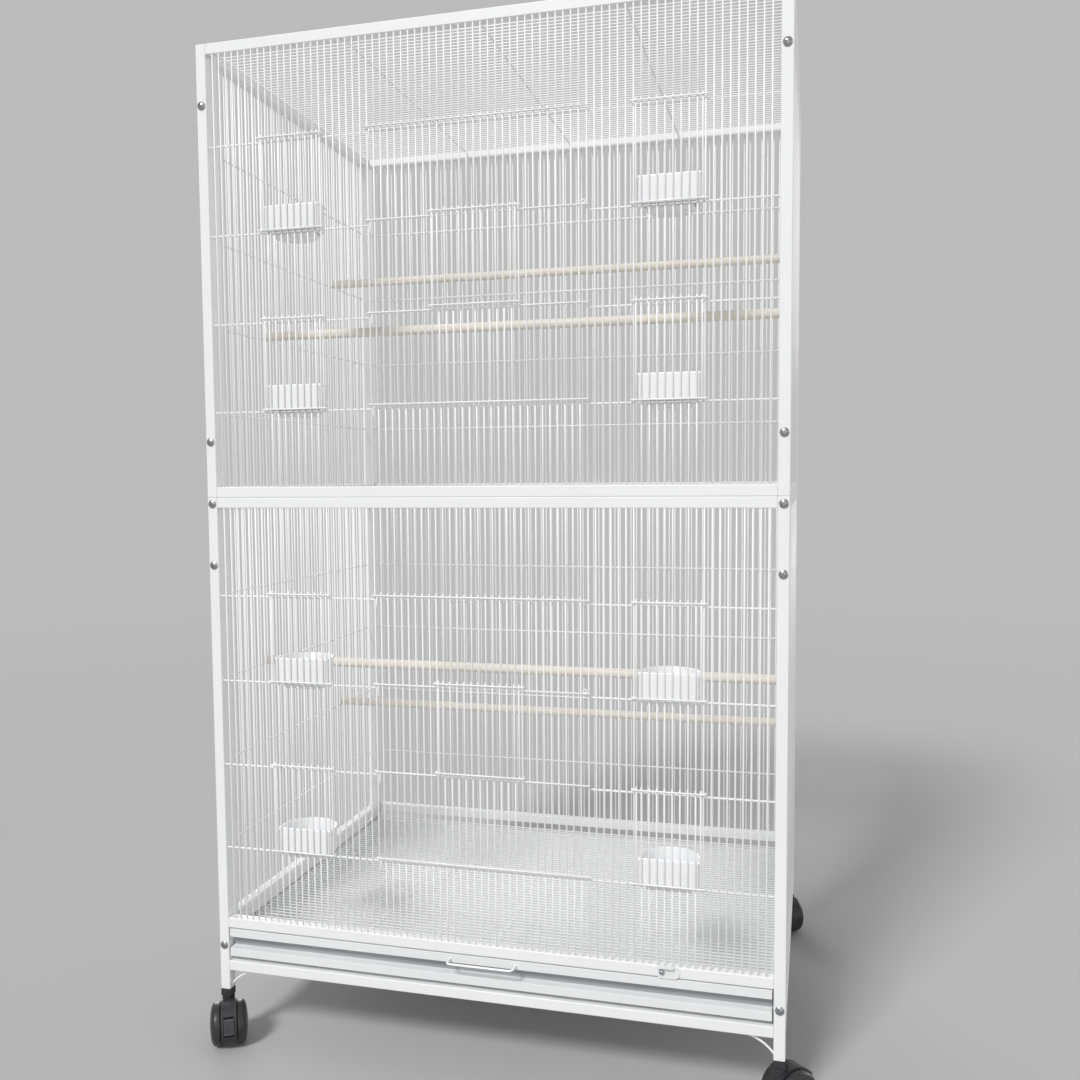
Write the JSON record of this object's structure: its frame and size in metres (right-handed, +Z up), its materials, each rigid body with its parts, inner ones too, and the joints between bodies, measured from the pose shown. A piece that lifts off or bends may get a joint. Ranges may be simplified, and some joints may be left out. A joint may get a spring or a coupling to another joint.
{
  "type": "indoor aviary",
  "caption": "Tall white wire flight cage of stacked framed panels on caster legs, with hinged front doors, lift-up feeder doors, cups, perches and a pull-out tray.",
  "frame": {"origin": "on the floor, under the middle of the cage's bounding box", "axes": "+X to the viewer's right, +Y from the front doors to the back, +Z up; the main doors face -Y"},
  "size_m": [0.8914, 0.667, 1.43],
  "materials": {
    "frame_coat": "smooth white powder coat",
    "wire_coat": "smooth white powder coat",
    "tray_coat": "white coated sheet",
    "cup_plastic": "glossy pale plastic",
    "perch_wood": "bare pale dowel",
    "zinc": "zinc plated",
    "caster_plastic": "satin dark plastic",
    "wheel_plastic": "satin dark plastic",
    "lever_plastic": "satin grey plastic"
  },
  "bodies": {
    "cage": {"upper_front_frame": "frame_coat", "upper_back_frame": "frame_coat", "upper_left_frame": "frame_coat", "upper_right_frame": "frame_coat", "lower_front_frame": "frame_coat", "lower_back_frame": "frame_coat", "lower_left_frame": "frame_coat", "lower_right_frame": "frame_coat", "upper_front_grille": "wire_coat", "upper_back_grille": "wire_coat", "upper_left_grille": "wire_coat", "upper_right_grille": "wire_coat", "lower_front_grille": "wire_coat", "lower_back_grille": "wire_coat", "lower_left_grille": "wire_coat", "lower_right_grille": "wire_coat", "ceiling_grille": "wire_coat", "floor_grille": "wire_coat", "tray_runners": "frame_coat", "leg_braces": "wire_coat", "leg_plugs": "caster_plastic", "screws": "zinc", "cup_rings": "wire_coat", "upper_back_perch": "perch_wood", "upper_front_perch": "perch_wood", "lower_front_perch": "perch_wood", "lower_back_perch": "perch_wood", "feeder_cup_1": "cup_plastic", "feeder_cup_2": "cup_plastic", "feeder_cup_3": "cup_plastic", "feeder_cup_4": "cup_plastic", "feeder_cup_5": "cup_plastic", "feeder_cup_6": "cup_plastic", "feeder_cup_7": "cup_plastic", "feeder_cup_8": "cup_plastic"},
    "feeder_door_1": {"feeder_door_1": "wire_coat"},
    "feeder_door_2": {"feeder_door_2": "wire_coat"},
    "feeder_door_3": {"feeder_door_3": "wire_coat"},
    "feeder_door_4": {"feeder_door_4": "wire_coat"},
    "feeder_door_5": {"feeder_door_5": "wire_coat"},
    "feeder_door_6": {"feeder_door_6": "wire_coat"},
    "feeder_door_7": {"feeder_door_7": "wire_coat"},
    "feeder_door_8": {"feeder_door_8": "wire_coat"},
    "upper_main_door": {"upper_main_door": "wire_coat"},
    "upper_inner_door": {"upper_inner_door": "wire_coat"},
    "lower_main_door": {"lower_main_door": "wire_coat"},
    "lower_inner_door": {"lower_inner_door": "wire_coat"},
    "tray": {"tray": "tray_coat", "tray_handle": "wire_coat"},
    "latch": {"latch_tab": "frame_coat"},
    "front_left_caster": {"front_left_hood": "caster_plastic"},
    "front_left_wheels": {"front_left_wheels": "wheel_plastic"},
    "front_right_caster": {"front_right_hood": "caster_plastic"},
    "front_right_wheels": {"front_right_wheels": "wheel_plastic"},
    "back_left_caster": {"back_left_hood": "caster_plastic"},
    "back_left_wheels": {"back_left_wheels": "wheel_plastic"},
    "back_right_caster": {"back_right_hood": "caster_plastic"},
    "back_right_wheels": {"back_right_wheels": "wheel_plastic"},
    "left_brake": {"left_brake_lever": "lever_plastic"},
    "right_brake": {"right_brake_lever": "lever_plastic"}
  },
  "joints": [
    {"name": "feeder_door_1_slide", "type": "slide", "parent": "cage", "child": "feeder_door_1", "axis": [0, 0, 1], "range_m": [0, 0.11]},
    {"name": "feeder_door_2_slide", "type": "slide", "parent": "cage", "child": "feeder_door_2", "axis": [0, 0, 1], "range_m": [0, 0.11]},
    {"name": "feeder_door_3_slide", "type": "slide", "parent": "cage", "child": "feeder_door_3", "axis": [0, 0, 1], "range_m": [0, 0.11]},
    {"name": "feeder_door_4_slide", "type": "slide", "parent": "cage", "child": "feeder_door_4", "axis": [0, 0, 1], "range_m": [0, 0.11]},
    {"name": "feeder_door_5_slide", "type": "slide", "parent": "cage", "child": "feeder_door_5", "axis": [0, 0, 1], "range_m": [0, 0.11]},
    {"name": "feeder_door_6_slide", "type": "slide", "parent": "cage", "child": "feeder_door_6", "axis": [0, 0, 1], "range_m": [0, 0.11]},
    {"name": "feeder_door_7_slide", "type": "slide", "parent": "cage", "child": "feeder_door_7", "axis": [0, 0, 1], "range_m": [0, 0.11]},
    {"name": "feeder_door_8_slide", "type": "slide", "parent": "cage", "child": "feeder_door_8", "axis": [0, 0, 1], "range_m": [0, 0.11]},
    {"name": "upper_main_door_hinge", "type": "hinge", "parent": "cage", "child": "upper_main_door", "pos_m": [-0.15, -0.28875, 0.92], "axis": [0, 0, -1], "range_deg": [0, 110]},
    {"name": "upper_inner_door_slide", "type": "slide", "parent": "upper_main_door", "child": "upper_inner_door", "axis": [0, 0, 1], "range_m": [0, 0.105]},
    {"name": "lower_main_door_hinge", "type": "hinge", "parent": "cage", "child": "lower_main_door", "pos_m": [-0.15, -0.28875, 0.29], "axis": [0, 0, -1], "range_deg": [0, 110]},
    {"name": "lower_inner_door_slide", "type": "slide", "parent": "lower_main_door", "child": "lower_inner_door", "axis": [0, 0, 1], "range_m": [0, 0.105]},
    {"name": "tray_slide", "type": "slide", "parent": "cage", "child": "tray", "axis": [0, -1, 0], "range_m": [0, 0.42]},
    {"name": "latch_turn", "type": "hinge", "parent": "cage", "child": "latch", "pos_m": [0.247, -0.2911, 0.1775], "axis": [0, 1, 0], "range_deg": [0, 90]},
    {"name": "front_left_swivel", "type": "hinge", "parent": "cage", "child": "front_left_caster", "pos_m": [-0.3975, -0.2825, 0.066], "axis": [0, 0, 1], "continuous": true},
    {"name": "front_left_spin", "type": "hinge", "parent": "front_left_caster", "child": "front_left_wheels", "pos_m": [-0.389, -0.29722, 0.0305], "axis": [-0.866, -0.5, 0], "continuous": true},
    {"name": "front_right_swivel", "type": "hinge", "parent": "cage", "child": "front_right_caster", "pos_m": [0.3975, -0.2825, 0.066], "axis": [0, 0, 1], "continuous": true},
    {"name": "front_right_spin", "type": "hinge", "parent": "front_right_caster", "child": "front_right_wheels", "pos_m": [0.40952, -0.27048, 0.0305], "axis": [0.7071, -0.7071, 0], "continuous": true},
    {"name": "back_left_swivel", "type": "hinge", "parent": "cage", "child": "back_left_caster", "pos_m": [-0.3975, 0.2825, 0.066], "axis": [0, 0, 1], "continuous": true},
    {"name": "back_left_spin", "type": "hinge", "parent": "back_left_caster", "child": "back_left_wheels", "pos_m": [-0.40952, 0.27048, 0.0305], "axis": [-0.7071, 0.7071, 0], "continuous": true},
    {"name": "back_right_swivel", "type": "hinge", "parent": "cage", "child": "back_right_caster", "pos_m": [0.3975, 0.2825, 0.066], "axis": [0, 0, 1], "continuous": true},
    {"name": "back_right_spin", "type": "hinge", "parent": "back_right_caster", "child": "back_right_wheels", "pos_m": [0.389, 0.29722, 0.0305], "axis": [0.866, 0.5, 0], "continuous": true},
    {"name": "left_brake_turn", "type": "hinge", "parent": "front_left_caster", "child": "left_brake", "pos_m": [-0.3755, -0.3206, 0.045], "axis": [-0.866, -0.5, 0], "range_deg": [0, 25]},
    {"name": "right_brake_turn", "type": "hinge", "parent": "front_right_caster", "child": "right_brake", "pos_m": [0.42861, -0.25139, 0.045], "axis": [0.7071, -0.7071, 0], "range_deg": [0, 25]}
  ]
}
